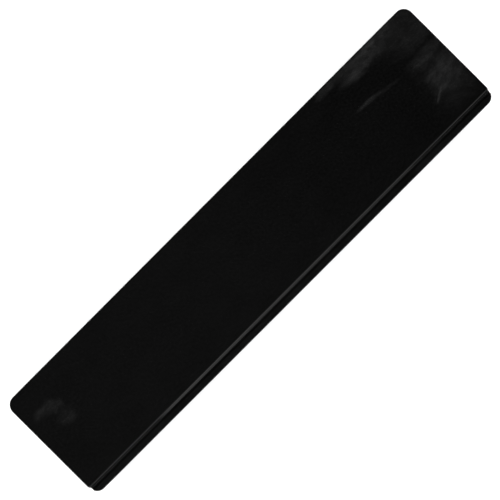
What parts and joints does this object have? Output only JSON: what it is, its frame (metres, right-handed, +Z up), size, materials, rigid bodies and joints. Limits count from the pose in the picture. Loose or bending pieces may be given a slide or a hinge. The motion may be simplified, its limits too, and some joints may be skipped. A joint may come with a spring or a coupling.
{
  "type": "chalkboard eraser",
  "caption": "Long flat chalkboard eraser: glossy black cover over a black tray with a finger rail along one long side, and a sewn felt pad of lengthwise folded bands below.",
  "frame": {"origin": "middle of the felt wiping face, which the eraser stands on, at the centre of its plan", "axes": "+X along the eraser, +Z up out of the glossy cover, the finger rail on the -Y side"},
  "size_m": [0.3048, 0.07, 0.0286],
  "materials": {
    "cover_gloss": "polished black moulding with faint handling smears",
    "tray_satin": "satin black moulding",
    "hardboard": "pressed brown hardboard",
    "foam_tape": "white double-sided foam tape",
    "glue": "dried contact adhesive",
    "backing_felt": "dense black needled felt",
    "band_felt": "thick charcoal wool felt",
    "thread": "black waxed sewing thread"
  },
  "bodies": {
    "root": {"top_cover": "cover_gloss", "base_tray": "tray_satin", "stiffening_board": "hardboard", "board_tape_near": "foam_tape", "board_tape_far": "foam_tape", "pad_glue_film": "glue", "felt_backing": "backing_felt", "felt_band_1": "band_felt", "felt_band_2": "band_felt", "felt_band_3": "band_felt", "felt_band_4": "band_felt", "felt_band_5": "band_felt", "felt_band_6": "band_felt", "needle_thread_1": "thread", "needle_thread_2": "thread", "needle_thread_3": "thread", "needle_thread_4": "thread", "needle_thread_5": "thread", "needle_thread_6": "thread", "bobbin_thread_1": "thread", "bobbin_thread_2": "thread", "bobbin_thread_3": "thread", "bobbin_thread_4": "thread", "bobbin_thread_5": "thread", "bobbin_thread_6": "thread"}
  },
  "joints": []
}
